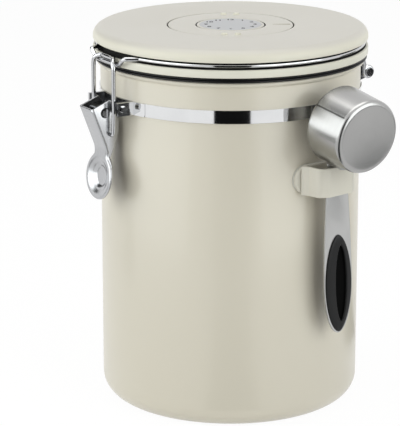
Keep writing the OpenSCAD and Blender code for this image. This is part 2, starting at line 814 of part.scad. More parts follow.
module scoop_handle() {
    back = handle_r - handle_t / 2;
    tab_z = cup_mouth_lowest - tab_t;
    steps = [for (i = [0 : outline_steps]) i / outline_steps];
    upper = [for (s = steps) neck_z + (widest_z - neck_z) * s];
    lower = [for (s = steps) widest_z - handle_tip * sin(90 * s)];
    heights = concat(upper, [for (i = [1 : outline_steps - 1]) lower[i]]);
    color("#b6b5b3") at_scoop() difference() {
        union() {
            plate(back, handle_t) polygon(concat(
                [for (z = heights) [handle_half(z), z]], [[0, widest_z - handle_tip]],
                [for (i = [len(heights) - 1 : -1 : 0]) [-handle_half(heights[i]), heights[i]]]));
            translate([back, -neck_w / 2, neck_z - 0.1]) cube([handle_t, neck_w, tab_z - neck_z + 3]);
            intersection() {
                translate([back, -neck_w / 2, tab_z]) cube([tab_l, neck_w, 3]);
                cup_cone(seat_gap + tab_t);
            }
        }
        cup_cone(seat_gap);
        plate(back - 1, handle_t + 2)
            polygon(oval(grip_w / 2 - grip_lap, grip_half - grip_lap, widest_z));
    }
}

module scoop_grip() {
    back = handle_r - handle_t / 2;
    step = 1.4;     // how far the proud face lies inside the grip's edge
    color("#1f1f21") at_scoop() difference() {
        union() {
            plate(back - 0.1, handle_t + 0.2) polygon(oval(grip_w / 2 - grip_lap - seat_gap,
                grip_half - grip_lap - seat_gap, widest_z));
            plate(back + handle_t + seat_gap, grip_proud * 0.5)
                polygon(oval(grip_w / 2, grip_half, widest_z));
            plate(back + handle_t, grip_proud)
                polygon(oval(grip_w / 2 - step, grip_half - step, widest_z));
            plate(back - seat_gap - grip_proud * 0.5, grip_proud * 0.5)
                polygon(oval(grip_w / 2, grip_half, widest_z));
            plate(back - grip_proud, grip_proud + 0.1)
                polygon(oval(grip_w / 2 - step, grip_half - step, widest_z));
        }
        plate(back + handle_t / 2, handle_t + grip_proud)
            polygon(oval(grip_w / 2 - recess_side, grip_half - recess_end, widest_z));
    }
}

canister_body();
clamp_band();
latch_bracket();
band_screws();
band_nuts();
lever_pin();
lever();
bail_wire();
hinge_bracket();
hinge_pin();
lid_wire();
lid_cover();
lid_base();
lid_gasket();
date_ring();
dial_hub();
dial_label();
valve_flap();
valve_filter();
valve_cap();
scoop_holder();
holder_tape();
scoop_cup();
scoop_handle();
scoop_grip();
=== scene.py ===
import math

import bmesh
import bpy
from mathutils import Matrix, Vector


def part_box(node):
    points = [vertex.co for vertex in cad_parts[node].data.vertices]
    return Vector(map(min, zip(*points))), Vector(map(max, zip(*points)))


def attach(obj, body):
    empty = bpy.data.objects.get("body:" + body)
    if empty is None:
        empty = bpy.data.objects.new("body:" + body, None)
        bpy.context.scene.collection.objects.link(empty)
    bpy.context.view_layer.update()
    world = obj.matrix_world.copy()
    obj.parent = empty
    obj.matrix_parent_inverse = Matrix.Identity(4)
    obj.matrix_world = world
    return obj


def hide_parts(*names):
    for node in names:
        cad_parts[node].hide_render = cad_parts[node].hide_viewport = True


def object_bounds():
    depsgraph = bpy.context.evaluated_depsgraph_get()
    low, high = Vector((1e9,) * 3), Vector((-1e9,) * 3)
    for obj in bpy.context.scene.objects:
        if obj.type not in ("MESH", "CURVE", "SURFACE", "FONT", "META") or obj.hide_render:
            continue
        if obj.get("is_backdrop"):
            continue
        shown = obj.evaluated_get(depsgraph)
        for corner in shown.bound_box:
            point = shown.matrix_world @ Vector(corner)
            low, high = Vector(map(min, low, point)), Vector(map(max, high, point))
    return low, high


# Looks for the coffee canister. Sizes are in millimetres until a mesh is made.
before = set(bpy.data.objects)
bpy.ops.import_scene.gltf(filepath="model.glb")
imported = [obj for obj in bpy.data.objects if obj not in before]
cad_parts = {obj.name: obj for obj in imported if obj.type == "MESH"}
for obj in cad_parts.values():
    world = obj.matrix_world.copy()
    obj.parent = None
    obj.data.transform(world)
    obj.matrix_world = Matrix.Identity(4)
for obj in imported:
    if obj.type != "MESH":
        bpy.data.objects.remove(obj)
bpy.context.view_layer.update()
scene = bpy.context.scene
mm = 0.001


def cadBox(node):
    low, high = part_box(node)
    return low / mm, high / mm


# sizes read off the frame
bodyHigh = cadBox("canister_body")[1]
bodyR = 60.0
rimR = bodyHigh.x
bodyH = bodyHigh.z
coverHigh = cadBox("lid_cover")[1]
baseHigh = cadBox("lid_base")[1]
gasketLow, gasketHigh = cadBox("lid_gasket")
lidR = coverHigh.x
lidTop = coverHigh.z
dialTop = cadBox("dial_hub")[1].z
ringR = cadBox("date_ring")[1].x
hubR = cadBox("dial_hub")[1].x
labelR = cadBox("dial_label")[1].x
dialTurn = math.radians(59)  # the figures read from the camera's side
grooveLow = gasketHigh.z + 3.65  # the wire's groove, above the flange
grooveHigh = lidTop - 5.5
pivot = (69.2, 143.3)  # the lever's pin, out from the axis and up
pinLow, pinHigh = cadBox("lever_pin")
pinHeadR = (pinHigh.y - pinLow.y) / 2


def tone(red, green, blue):
    # a colour as it reads in a picture, turned to the linear value that Blender mixes
    linear = [(c / 255 / 12.92) if c / 255 <= 0.04045 else ((c / 255 + 0.055) / 1.055) ** 2.4
              for c in (red, green, blue)]
    return (*linear, 1.0)


class Value:
    # a socket whose operators add Math nodes
    def __init__(self, graph, socket):
        self.graph, self.socket = graph, socket

    def maths(self, operation, *given):
        return self.graph.node("ShaderNodeMath", {"operation": operation}, dict(enumerate(given)))

    def __add__(self, other): return self.maths("ADD", self, other)
    def __radd__(self, other): return self.maths("ADD", other, self)
    def __sub__(self, other): return self.maths("SUBTRACT", self, other)
    def __rsub__(self, other): return self.maths("SUBTRACT", other, self)
    def __mul__(self, other): return self.maths("MULTIPLY", self, other)
    def __rmul__(self, other): return self.maths("MULTIPLY", other, self)
    def __abs__(self): return self.maths("ABSOLUTE", self)
    def root(self): return self.maths("SQRT", self)


class Graph:
    # the nodes of a material or of the world
    def __init__(self, owner):
        owner.use_nodes = True
        self.data, self.tree = owner, owner.node_tree

    def fill(self, slot, value):
        if isinstance(value, Value):
            self.tree.links.new(value.socket, slot)
        else:
            slot.default_value = value

    def node(self, kind, settings=None, sockets=None, output=0):
        node = self.tree.nodes.new(kind)
        for key, value in (settings or {}).items():
            setattr(node, key, value)
        for key, value in (sockets or {}).items():
            self.fill(node.inputs[key], value)
        return Value(self, node.outputs[output])

    def seen(self):
        # 1 where it is looked at directly, in a mirror or through glass, and 0 where it lights
        direct, mirrored, through = (self.node("ShaderNodeLightPath", output=way) for way in (
            "Is Camera Ray", "Is Glossy Ray", "Is Transmission Ray"))
        return direct + mirrored + through

    def show(self, share, plain, bright):
        # the plain shader, with a share of the bright one over it
        mixed = self.node("ShaderNodeMixShader", sockets={"Fac": share, 1: plain, 2: bright})
        end = next(n for n in self.tree.nodes if n.type.startswith("OUTPUT"))
        self.fill(end.inputs["Surface"], mixed)


class Material(Graph):
    def __init__(self, name, **constants):
        super().__init__(bpy.data.materials.new(name))
        self.shader = next(n for n in self.tree.nodes if n.type == "BSDF_PRINCIPLED")
        self.feed(**constants)
        self.spot = self.node("ShaderNodeTexCoord", output="Object")

    def feed(self, **sockets):
        for slot, value in sockets.items():
            self.fill(self.shader.inputs[slot.replace("_", " ")], value)
        return self

    def noise(self, scale, detail=2.0, stretch=None, roughness=0.5):
        spot = self.spot
        if stretch:
            spot = self.node("ShaderNodeMapping", sockets={"Vector": spot, "Scale": stretch})
        return self.node("ShaderNodeTexNoise", sockets={
            "Vector": spot, "Scale": scale, "Detail": detail, "Roughness": roughness})

    def vector(self, operation, *given, output=0):
        return self.node("ShaderNodeVectorMath", {"operation": operation},
                         dict(enumerate(given)), output)

    def length(self, reach):
        return self.vector("LENGTH", reach, output="Value")

    def along(self, reach, way):
        return self.vector("DOT_PRODUCT", reach, tuple(way), output="Value")

    def ramp(self, value, low, high):
        # 0 at low, 1 at high, smooth between; both in millimetres
        return self.node("ShaderNodeMapRange", {"interpolation_type": "SMOOTHSTEP"},
                         {"Value": value, "From Min": low * mm, "From Max": high * mm})

    def blend(self, factor, first, second):
        return self.node("ShaderNodeMix", {"data_type": "RGBA", "clamp_factor": True},
                         {"Factor": factor, 6: first, 7: second}, output=2)

    def colours(self, factor, light, dark):
        return self.blend(factor, tone(*light), tone(*dark))

    def bump(self, height, strength, distance):
        return self.node("ShaderNodeBump", sockets={
            "Height": height, "Strength": strength, "Distance": distance})

    def within(self, radius, low, high, soft=0.2, softUp=0.12):
        # 1 nearer the canister's axis than a radius and between two heights
        level = self.length(self.vector("MULTIPLY", self.spot, (1, 1, 0)))
        height = self.along(self.spot, (0, 0, 1))
        return ((1 - self.ramp(level, radius - soft, radius))
                * self.ramp(height, low, low + softUp)
                * (1 - self.ramp(height, high - softUp, high)))


# materials: noises are (scale, detail, stretch, roughness), reliefs (strength, distance)

def paint():
    look = {
        "light": (222, 216, 201), "dark": (219, 212, 194), "drift": (9.0, 3.0), "roughness": 0.3,
        "uneven": 0.06, "worn": (40.0, 3.0), "peel": (900.0, 2.0), "finePeel": (2600.0, 1.0),
        "fineShare": 0.3, "relief": (0.1, 0.00006)}
    m = Material("creamPaint", Specular_IOR_Level=0.5, Coat_Weight=0.25, Coat_Roughness=0.12)
    peel = (m.noise(*look["peel"]) * (1 - look["fineShare"])
            + m.noise(*look["finePeel"]) * look["fineShare"])
    return m.feed(Base_Color=m.colours(m.noise(*look["drift"]), look["light"], look["dark"]),
                  Roughness=m.noise(*look["worn"]) * look["uneven"] + look["roughness"],
                  Normal=m.bump(peel, *look["relief"]))


def finish(name, look, paintedShadeGaps=(), edge=None):
    # a finish whose colour drifts, whose gloss is worn unevenly and whose grain stands out; it can
    # also take painted shade in gaps and a painted highlight on the cover's edge
    m = Material(name, Specular_IOR_Level=look["gloss"])
    if "cells" in look:
        grain = m.node("ShaderNodeTexVoronoi", sockets={"Vector": m.spot, "Scale": look["cells"]})
    else:
        grain = m.noise(*look["grain"])
    drift, worn = (m.noise(*look[key]) if key in look else grain for key in ("drift", "worn"))
    colour = m.colours(drift, look["light"], look["dark"])
    rough = worn * look["uneven"] + look["roughness"]
    if edge:  # painted highlight: the rounded edge of the cover, painted lighter and a little warmer than its top where it turns towards the light
        colour = m.blend(m.ramp(m.along(m.spot, (0, 0, 1)), lidTop - edge["from"],
                                lidTop - edge["to"]), colour, tone(*edge["shade"]))
    for gap in paintedShadeGaps:  # painted shade: a ring (radius, low, high) where parts meet and little light gets in, painted dark
        inside = m.within(*gap)
        colour = m.blend(inside, colour, tone(*look["gapShade"]))
        rough = rough + inside * look["gapRough"]
    if "relief" in look:
        m.feed(Normal=m.bump(grain, *look["relief"]))
    return m.feed(Base_Color=colour, Roughness=rough)


def plastic(name, light, dark, roughness, paintedShadeGaps=(), edge=None):
    return finish(name, {"light": light, "dark": dark, "gloss": 0.45, "drift": (14.0, 3.0),
                         "grain": (1800.0, 3.0), "relief": (0.1, 0.00005), "worn": (60.0, 4.0),
                         "uneven": 0.08, "roughness": roughness, "gapShade": (20, 19, 17),
                         "gapRough": 0.5}, paintedShadeGaps, edge)


def steel(name, base, roughness, brush=(1.0, 1.0, 1.0), scratch=0.15, ring=None):
    # rolled or drawn stainless: a fine grain along the work, a few soft marks
    look = {
        "dark": 0.92, "drift": (70.0, 4.0), "uneven": 0.06, "grain": (900.0, 3.0, brush),
        "marks": (260.0, 5.0, (1.0, 1.0, 0.4), 0.7), "marked": 0.05, "scratch": 0.00002,
        "ringShade": (40, 40, 41), "ringFrom": 0.35, "ringTo": 0.6}
    m = Material(name, Metallic=1.0)
    drift = m.noise(*look["drift"])
    colour = m.colours(drift, base, [c * look["dark"] for c in base])
    if ring:  # painted shade: a dark ring round a pin that runs along X, for the shaded gap there
        y, z, radius = ring
        reach = m.vector("MULTIPLY", m.vector("SUBTRACT", m.spot, (0, y * mm, z * mm)), (0, 1, 1))
        outside = m.ramp(m.length(reach), radius + look["ringFrom"], radius + look["ringTo"])
        colour = m.blend(1 - outside, colour, tone(*look["ringShade"]))
    grain, marks = m.noise(*look["grain"]), m.noise(*look["marks"])
    return m.feed(Base_Color=colour, Normal=m.bump(grain, scratch, look["scratch"]),
                  Roughness=drift * look["uneven"] + marks * look["marked"] + roughness)


# how the scoop hangs: radial out, sideways and up, in the holder's own directions
hang = {
    "turn": 11.0, "lean": 2.0, "swing": -6.0, "shift": 1.0, "handleR": 68.8, "handleThick": 1.2,
    "holderZ": 115.6, "holderHigh": 13.3}
atHolder = Matrix.Rotation(math.radians(hang["turn"]), 4, "Z")
atScoop = (atHolder @ Matrix.Translation((0, 0, hang["holderZ"]))
           @ Matrix.Rotation(math.radians(hang["lean"]), 4, "X")
           @ Matrix.Translation((hang["handleR"], hang["shift"], -hang["holderZ"]))
           @ Matrix.Rotation(math.radians(hang["swing"]), 4, "Z")
           @ Matrix.Translation((-hang["handleR"], 0, 0)))
cup = {
    "mouthR": 17.4, "baseR": 16.8, "deep": 21.0, "wall": 0.8, "edge": 2.4, "tilt": 7.0,
    "tabThick": 1.2, "tabGap": 0.35, "rest": 0.25, "lip": 0.3, "lipIn": 0.25,
    "lipLow": (0.02, 1.2), "sunkIn": 0.6, "sunk": 0.12}
holderTop = hang["holderZ"] + hang["holderHigh"] / 2
tilt = math.radians(cup["tilt"])
mouthMid = (hang["handleR"] + cup["mouthR"] * math.sin(tilt) - hang["handleThick"] / 2, 0,
            holderTop + cup["rest"] + cup["tabThick"] + cup["mouthR"] * math.cos(tilt)
            + cup["tabGap"])
# along the cup's own Z from its mouth to its base
atCup = atScoop @ Matrix.Translation(mouthMid) @ Matrix.Rotation(math.pi / 2 + tilt, 4, "Y")


def spunSteel():
    # the cup is spun and brushed in circles round its own axis, with one seam along its side
    look = {
        "light": (178, 178, 177), "dark": (158, 158, 157), "patches": (60.0, 3.0),
        "patchShare": 0.6, "rings": 1500.0, "ringShare": 0.4, "roughness": 0.22, "uneven": 0.07,
        "relief": (0.2, 0.00003), "seamShade": (60, 59, 58), "seamTurn": 50.0,
        "seamHalf": (0.2, 0.5), "seamUp": (0.0, 4.0), "seamEnd": (18.5, 19.5), "seamDark": 0.8,
        "seamDeep": 2.0}
    m = Material("spunSteel", Metallic=1.0)
    axis = (atCup.to_3x3() @ Vector((0, 0, 1))).normalized()
    # the seam's side of the axis, turned from the side that faces up
    turned = Matrix.Rotation(math.radians(look["seamTurn"]), 3, axis)
    up = turned @ (atCup.to_3x3() @ Vector((-1, 0, 0))).normalized()
    reach = m.vector("SUBTRACT", m.spot, tuple(atCup.translation * mm))
    along, across, upward = (m.along(reach, way) for way in (axis, axis.cross(up), up))
    far = m.length(reach)
    radius = (far * far - along * along).root()
    rings = m.node("ShaderNodeTexNoise", {"noise_dimensions": "1D"},
                   {"W": (radius + along) * look["rings"], "Scale": 1.0, "Detail": 4.0})
    seam = ((1 - m.ramp(abs(across), *look["seamHalf"])) * m.ramp(upward, *look["seamUp"])
            * (1 - m.ramp(along, *look["seamEnd"])))
    share = m.noise(*look["patches"]) * look["patchShare"] + rings * look["ringShare"]
    plain = m.colours(share, look["light"], look["dark"])
    return m.feed(Base_Color=m.blend(seam * look["seamDark"], plain, tone(*look["seamShade"])),
                  Roughness=rings * look["uneven"] + look["roughness"],
                  Normal=m.bump(rings - seam * look["seamDeep"], *look["relief"]))


creamPaint = paint()
# rings painted dark as shade: the gap round the date ring, the cover's underside above the wire and
# the wall of the wire's groove
dialGapShade = (ringR + 0.4, dialTop - 3.0, dialTop - 0.25)
coverUnderShade = (lidR - 0.7, grooveHigh - 0.15, grooveHigh + 0.2)
grooveWallShade = (lidR - 0.9, grooveLow - 0.15, grooveHigh + 0.5)
# the lid's plastic, with painted shade in its gaps and a painted highlight on the cover's rounded
# edge
lidPlastic = plastic("lidPlastic", (223, 220, 211), (220, 216, 206), 0.34,
                     paintedShadeGaps=(dialGapShade, coverUnderShade),
                     edge={"shade": (233, 229, 213), "from": 0.2, "to": 3.0})
baseLidPlastic = plastic("baseLidPlastic", (236, 234, 220), (232, 229, 214), 0.34,
                         paintedShadeGaps=(grooveWallShade,))
# painted light: a lighter copy of the dial's plastic, so that the small nubs read as lit
nubPlastic = plastic("nubPlastic", (234, 231, 215), (229, 226, 209), 0.3)
holderPlastic = plastic("holderPlastic", (221, 217, 204), (216, 211, 197), 0.32)
sheetSteel = steel("sheetSteel", (232, 233, 234), 0.02, brush=(0.2, 0.2, 3.0), scratch=0.04)
# painted shade: a darker copy of the band's steel for the brackets, standing in for the shade
# behind the lever
bracketSteel = steel("bracketSteel", (150, 151, 153), 0.14, brush=(0.2, 0.2, 3.0), scratch=0.06)
# painted shade: a dark copy of the steel for the lever's inner faces, which face the wall and lie
# in shade
innerSteel = steel("innerSteel", (62, 62, 63), 0.4, scratch=0.1)
# the lever's steel, with a painted-shade ring round the pin's head
leverSteel = steel("leverSteel", (192, 193, 195), 0.18, brush=(1.0, 1.0, 0.3), scratch=0.1,
                   ring=(-pivot[0], pivot[1], pinHeadR))
wireSteel = steel("wireSteel", (206, 207, 209), 0.05, scratch=0.03)
brushedSteel = steel("brushedSteel", (194, 194, 193), 0.24, brush=(6.0, 6.0, 0.15), scratch=0.2)
spun = spunSteel()
blackRubber = finish("blackRubber", {
    "light": (9, 9, 10), "dark": (15, 15, 16), "drift": (40.0, 3.0), "gloss": 0.28,
    "roughness": 0.34, "uneven": 0.1, "worn": (120.0, 3.0), "grain": (2400.0, 3.0),
    "relief": (0.15, 0.00005)})
# painted shade: a blacker, duller copy of the grip's rubber for the floor of its recess, which lies
# in shade
shadedRecessRubber = finish("deepRubber", {
    "light": (3, 3, 3), "dark": (5, 5, 5), "gloss": 0.04, "roughness": 0.6, "uneven": 0.1,
    "grain": (2400.0, 3.0)})
labelFilm = finish("labelFilm", {
    "light": (204, 205, 207), "dark": (197, 198, 201), "drift": (60.0, 2.0), "gloss": 0.5,
    "roughness": 0.38, "uneven": 0.1, "grain": (4200.0, 2.0), "relief": (0.08, 0.00003)})
darkInk = finish("darkInk", {
    "light": (22, 24, 34), "dark": (34, 36, 46), "gloss": 0.4, "roughness": 0.45,
    "uneven": 0.1, "grain": (5000.0, 2.0)})
clearSilicone = finish("milkySilicone", {
    "light": (226, 225, 218), "dark": (216, 215, 206), "gloss": 0.5, "roughness": 0.3,
    "uneven": 0.15, "grain": (600.0, 2.0)})
whiteFelt = finish("whiteFelt", {
    "light": (236, 235, 229), "dark": (214, 212, 203), "gloss": 0.2, "roughness": 0.85,
    "uneven": 0.1, "grain": (1500.0, 6.0, (1.0, 0.3, 1.0), 0.75), "relief": (0.6, 0.0003)})
foamTape = finish("foamTape", {
    "light": (214, 212, 204), "dark": (190, 188, 178), "gloss": 0.3, "roughness": 0.7,
    "uneven": 0.1, "cells": 2200.0, "relief": (0.4, 0.0002)})
print("materials made")


def put(name, data):
    obj = bpy.data.objects.new(name, data)
    scene.collection.objects.link(obj)
    return obj


# mesh helpers; a kind is a material, the body that carries the piece and its slot

def newObject(name, points, faces, kind, smooth=40.0):
    material, body, slotName = kind
    mesh = bpy.data.meshes.new(name)
    mesh.from_pydata([Vector(p) * mm for p in points], [], faces)
    mesh.validate()
    tool = bmesh.new()
    tool.from_mesh(mesh)
    bmesh.ops.remove_doubles(tool, verts=tool.verts, dist=1e-6)
    bmesh.ops.recalc_face_normals(tool, faces=tool.faces)
    tool.to_mesh(mesh)
    tool.free()
    obj = put(name, mesh)
    mesh.materials.append(material.data)
    for face in mesh.polygons:
        face.use_smooth = True
    mesh.set_sharp_from_angle(angle=math.radians(smooth))
    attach(obj, body)
    return obj


def paintNode(node, material):
    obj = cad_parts[node]
    obj.data.materials.clear()
    obj.data.materials.append(material.data)


def arc(centreR, centreZ, radius, start, end, steps=8):
    # points of (distance from the axis, height) round a corner
    return [(centreR + radius * math.cos(math.radians(start + (end - start) * i / steps)),
             centreZ + radius * math.sin(math.radians(start + (end - start) * i / steps)))
            for i in range(steps + 1)]


def curve(first, here, last, t):
    # a bend from first to last that is close to an arc at these sizes
    return first * (1 - t) ** 2 + here * 2 * t * (1 - t) + last * t * t


def rounded(before, here, after, radius, share, steps):
    # the points of one rounded corner, which takes up to a share of the sides next to it
    before, after = before - here, after - here
    trim = min(radius / math.tan(before.angle(after) / 2), share * before.length,
               share * after.length)
    first, last = here + before.normalized() * trim, here + after.normalized() * trim
    return [curve(first, here, last, k / steps) for k in range(steps + 1)]


def soften(outline, steps=5):
    # a closed outline of corners (x, y, rounding)
    spots = [Vector(p[:2]) for p in outline]
    out = []
    for i, here in enumerate(spots):
        after, radius = spots[(i + 1) % len(spots)], outline[i][2]
        out += rounded(spots[i - 1], here, after, radius, 0.49, steps) if radius > 0 else [here]
    return [tuple(p) for p in out]


def bent(points, radius, steps=7):
    # an open line of points with its inner corners rounded
    spots = [Vector(p) for p in points]
    out = [spots[0]]
    for before, here, after in zip(spots, spots[1:], spots[2:]):
        out += rounded(before, here, after, radius, 0.48, steps)
    return out + [spots[-1]]


def lathe(name, profile, kind, segments=160, place=None, smooth=40.0):
    # a closed profile of (distance from the axis, height), turned all the way round
    points, faces = [], []
    count = len(profile)
    for s in range(segments):
        angle = 2 * math.pi * s / segments
        points += [(r * math.cos(angle), r * math.sin(angle), z) for r, z in profile]
    for s in range(segments):
        t = (s + 1) % segments
        for i in range(count):
            j = (i + 1) % count
            if profile[i][0] < 1e-6 and profile[j][0] < 1e-6:
                continue
            faces.append((s * count + i, t * count + i, t * count + j, s * count + j))
    if place:
        points = [place @ Vector(p) for p in points]
    return newObject(name, points, faces, kind, smooth)


def tube(name, path, radius, kind, sides=20, closed=False):
    # a round bar along points, with the ring carried along so that it doesn't twist
    points, faces = [], []
    path = [Vector(p) for p in path]
    count = len(path)
    side = None
    for i, here in enumerate(path):
        ahead = path[(i + 1) % count] if closed or i < count - 1 else here
        behind = path[i - 1] if closed or i > 0 else here
        along = (ahead - behind).normalized()
        if side is None:
            side = along.orthogonal().normalized()
        side = (side - along * side.dot(along)).normalized()
        other = along.cross(side)
        for k in range(sides):
            angle = 2 * math.pi * k / sides
            points.append(here + (side * math.cos(angle) + other * math.sin(angle)) * radius)
    for i in range(count if closed else count - 1):
        for k in range(sides):
            a, b = i * sides + k, i * sides + (k + 1) % sides
            n = ((i + 1) % count) * sides
            faces.append((a, b, n + (k + 1) % sides, n + k))
    if not closed:
        faces.append(tuple(reversed(range(sides))))
        faces.append(tuple((count - 1) * sides + k for k in range(sides)))
    return newObject(name, points, faces, kind, 50.0)


def slab(name, outline, thick, toWorld, kind, edge=0.2, holes=(), steps=3):
    # a sheet cut to an outline, thick along its own Z, edges rounded by a bevel
    tool = bmesh.new()
    loops = [[tool.verts.new((x, y, 0.0)) for x, y in loop] for loop in (outline, *holes)]
    edges = [tool.edges.new((loop[i], loop[(i + 1) % len(loop)]))
             for loop in loops for i in range(len(loop))]
    bmesh.ops.triangle_fill(tool, use_beauty=True, use_dissolve=False, edges=edges)
    bmesh.ops.dissolve_limit(tool, angle_limit=0.01, verts=tool.verts, edges=tool.edges)
    made = bmesh.ops.extrude_face_region(tool, geom=list(tool.faces))
    bmesh.ops.translate(tool, vec=(0, 0, thick), verts=[
        v for v in made["geom"] if isinstance(v, bmesh.types.BMVert)])
    bmesh.ops.recalc_face_normals(tool, faces=tool.faces)
    if edge > 0:
        sharp = [e for e in tool.edges if len(e.link_faces) == 2
                 and e.calc_face_angle(0) > math.radians(60)]
        bmesh.ops.bevel(tool, geom=sharp, offset=edge, segments=steps, profile=0.5,
                        affect="EDGES", clamp_overlap=True)
    points = [toWorld @ v.co for v in tool.verts]
    tool.verts.index_update()
    faces = [tuple(v.index for v in f.verts) for f in tool.faces]
    tool.free()
    return newObject(name, points, faces, kind, 35.0)


def rolled(radius, rim):
    # how far a rolled edge has dropped at a distance from its rim
    return radius - math.sqrt(max(0.0, radius ** 2 - max(0.0, radius - rim) ** 2))


def quads(wide, tall):
    # the faces of a net of points, wide points in each of its rows
    return [(a, a + 1, a + wide + 1, a + wide)
            for i in range(tall - 1) for a in range(i * wide, i * wide + wide - 1)]


def grid(name, rows, columns, front, back, kind, smooth=45.0):
    # a closed skin: rows of (place along, half width), a front and a back that give world points
    points = [pick(half * c, along, half * (1 - abs(c)))
              for pick in (front, back) for along, half in rows for c in columns]
    wide, tall = len(columns), len(rows)
    layer = wide * tall
    faces = quads(wide, tall)
    faces += [(layer + a, layer + d, layer + c, layer + b) for a, b, c, d in faces]
    border = (list(range(wide)) + [i * wide + wide - 1 for i in range(1, tall)]
              + [(tall - 1) * wide + j for j in range(wide - 2, -1, -1)]
              + [i * wide for i in range(tall - 2, 0, -1)])
    for k, a in enumerate(border):
        b = border[(k + 1) % len(border)]
        faces.append((a, layer + a, layer + b, b))
    return newObject(name, points, faces, kind, smooth)


def crowd(count):
    # places from -1 to 1 that lie closer together towards both ends
    return [math.sin(math.pi / 2 * (2 * i / count - 1)) for i in range(count + 1)]


def step(value, low, high):
    t = min(1.0, max(0.0, (value - low) / (high - low)))
    return t * t * (3 - 2 * t)


# canister body; footStep and neck are steps from the foot's radius and from the rim's low edge
can = {
    "wall": 0.8, "fillet": 10.0, "rimHigh": 2.1, "bead": 1.05, "lip": 0.5, "foot": 46.0,
    "footUp": 0.5, "footStep": ((-1.5, 0.5), (0, 0.12), (0.8, 0)),
    "neck": ((0, -1.3), (-0.25, -0.9), (-0.25, -0.5), (0.1, 0))}
fillet, bead, lip = can["fillet"], can["bead"], can["lip"]
rimLow = bodyH - can["rimHigh"]
innerR = bodyR - can["wall"]
outer = ([(0, can["footUp"])] + [(can["foot"] + r, z) for r, z in can["footStep"]]
         + arc(bodyR - fillet, fillet, fillet, -90, 0, 16)
         + [(bodyR + r, rimLow + z) for r, z in can["neck"]]
         + arc(rimR - bead, bodyH - bead, bead, -90, 90, 10)
         + arc(innerR + lip, bodyH - lip, lip, 90, 180, 4) + [(innerR, bodyH - 2 * lip)])
inner = arc(bodyR - fillet, fillet, fillet - can["wall"], 0, -90, 16)
shell = lathe("canisterShell", outer + inner + [(0, can["wall"] + can["footUp"])],
              (creamPaint, "canister", "cream_paint"), 224)
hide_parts("canister_body")

# lid: cover, lower half and gasket
lid = {
    "edge": 4.4, "under": 0.45, "grooveDeep": 3.1, "web": 2.0, "webUp": 0.7, "plugR": 56.0,
    "plugDown": 2.0, "plugWall": 2.0, "seat": 0.05, "recess": 2.3, "recessGap": 0.3,
    "recessEdge": 0.35, "stemIn": 1.2, "rootIn": 4.0, "rootUp": 3.0, "domeUp": 1.4,
    "flangeLow": 0.4, "flangeHigh": 0.6, "wallIn": 2.2, "wallEdge": 0.3}
core = lidR - lid["grooveDeep"]
recessR = ringR + lid["recessGap"]
recessFloor = dialTop - lid["recess"]
stemR = hubR - lid["stemIn"]
rootR = core - lid["rootIn"]
gap, bend, edge, under = (lid[key] for key in ("recessGap", "recessEdge", "edge", "under"))
profile = ([(stemR, recessFloor), (recessR - gap, recessFloor), (recessR, recessFloor + gap)]
           + arc(recessR + bend, lidTop - bend, bend, 180, 90, 4)
           + arc(lidR - edge, lidTop - edge, edge, 90, 0, 14)
           + arc(lidR - under, grooveHigh + under, under, 0, -90, 4)
           + [(rootR, grooveHigh), (rootR, grooveHigh + lid["rootUp"]),
              (stemR, grooveHigh + lid["domeUp"])])
lidKind = (lidPlastic, "lid", "cream_plastic")
cover = lathe("lidCover", profile, lidKind, 224)
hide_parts("lid_cover")

flangeFoot = gasketHigh.z + lid["seat"]
webFoot = flangeFoot + lid["webUp"]
webTop = webFoot + lid["web"]
plug, plugFoot = lid["plugR"], gasketLow.z - lid["plugDown"]
plugIn, coreIn = plug - lid["plugWall"], core - lid["wallIn"]
low, high, bend = lid["flangeLow"], lid["flangeHigh"], lid["wallEdge"]
profile = (soften([(plugIn, webFoot, 0), (plugIn, plugFoot, low), (plug, plugFoot, low),
                   (plug, flangeFoot, 0)])
           + arc(lidR - low, flangeFoot + low, low, -90, 0, 4)
           + arc(lidR - high, grooveLow - high, high, 0, 90, 5)
           + [(core + bend, grooveLow), (core, grooveLow + bend), (core, baseHigh.z),
              (coreIn, baseHigh.z), (coreIn, webTop), (0, webTop), (0, webFoot)])
lower = lathe("lidLower", profile, (baseLidPlastic, "lid", "cream_plastic"), 224)
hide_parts("lid_base")

gasket = {"lip": 0.5, "flatIn": 0.65, "groove": 1.2, "inR": 56.1}
lip, low, high = gasket["lip"], gasketLow.z, gasketHigh.z
edgeR = gasketHigh.x
profile = ([(gasket["inR"], low), (edgeR - gasket["flatIn"], low)]
           + arc(edgeR - lip, low + lip, lip, -90, 60, 6)
           + [(edgeR - gasket["groove"], (high + low) / 2)]
           + arc(edgeR - lip, high - lip, lip, -60, 90, 6) + [(gasket["inR"], high)])
seal = lathe("lidGasket", profile, (blackRubber, "lid", "black_rubber"), 200)
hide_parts("lid_gasket")
print("canister and lid made")

# date dial
dial = {
    "edge": 0.35, "step": 0.9, "thick": 2.2, "numberHigh": 3.7, "numberR": 11.3,
    "numberBold": 0.13, "numberThick": 0.01, "nubR": 1.5, "nubUp": 0.8, "nubPlace": 24.6,
    "nubSpread": 3.0, "nubFoot": 0.12, "nubEdge": 0.45, "ease": 0.28, "footEdge": 0.3}
dialFoot = dialTop - dial["thick"]
inR = hubR + lid["recessGap"] + dial["ease"]
outR = ringR - dial["ease"]
edge, ledge = dial["edge"], dialFoot + dial["step"]
profile = ([(stemR, dialFoot), (outR - 0.2, dialFoot), (outR, dialFoot + dial["footEdge"])]
           + arc(outR - edge, dialTop - edge, edge, 0, 90, 5)
           + arc(inR + edge, dialTop - edge, edge, 90, 180, 5)
           + [(inR, ledge), (stemR + 0.1, ledge)])
ring = lathe("dateRing", profile, (lidPlastic, "date_ring", "cream_plastic"))
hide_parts("date_ring")

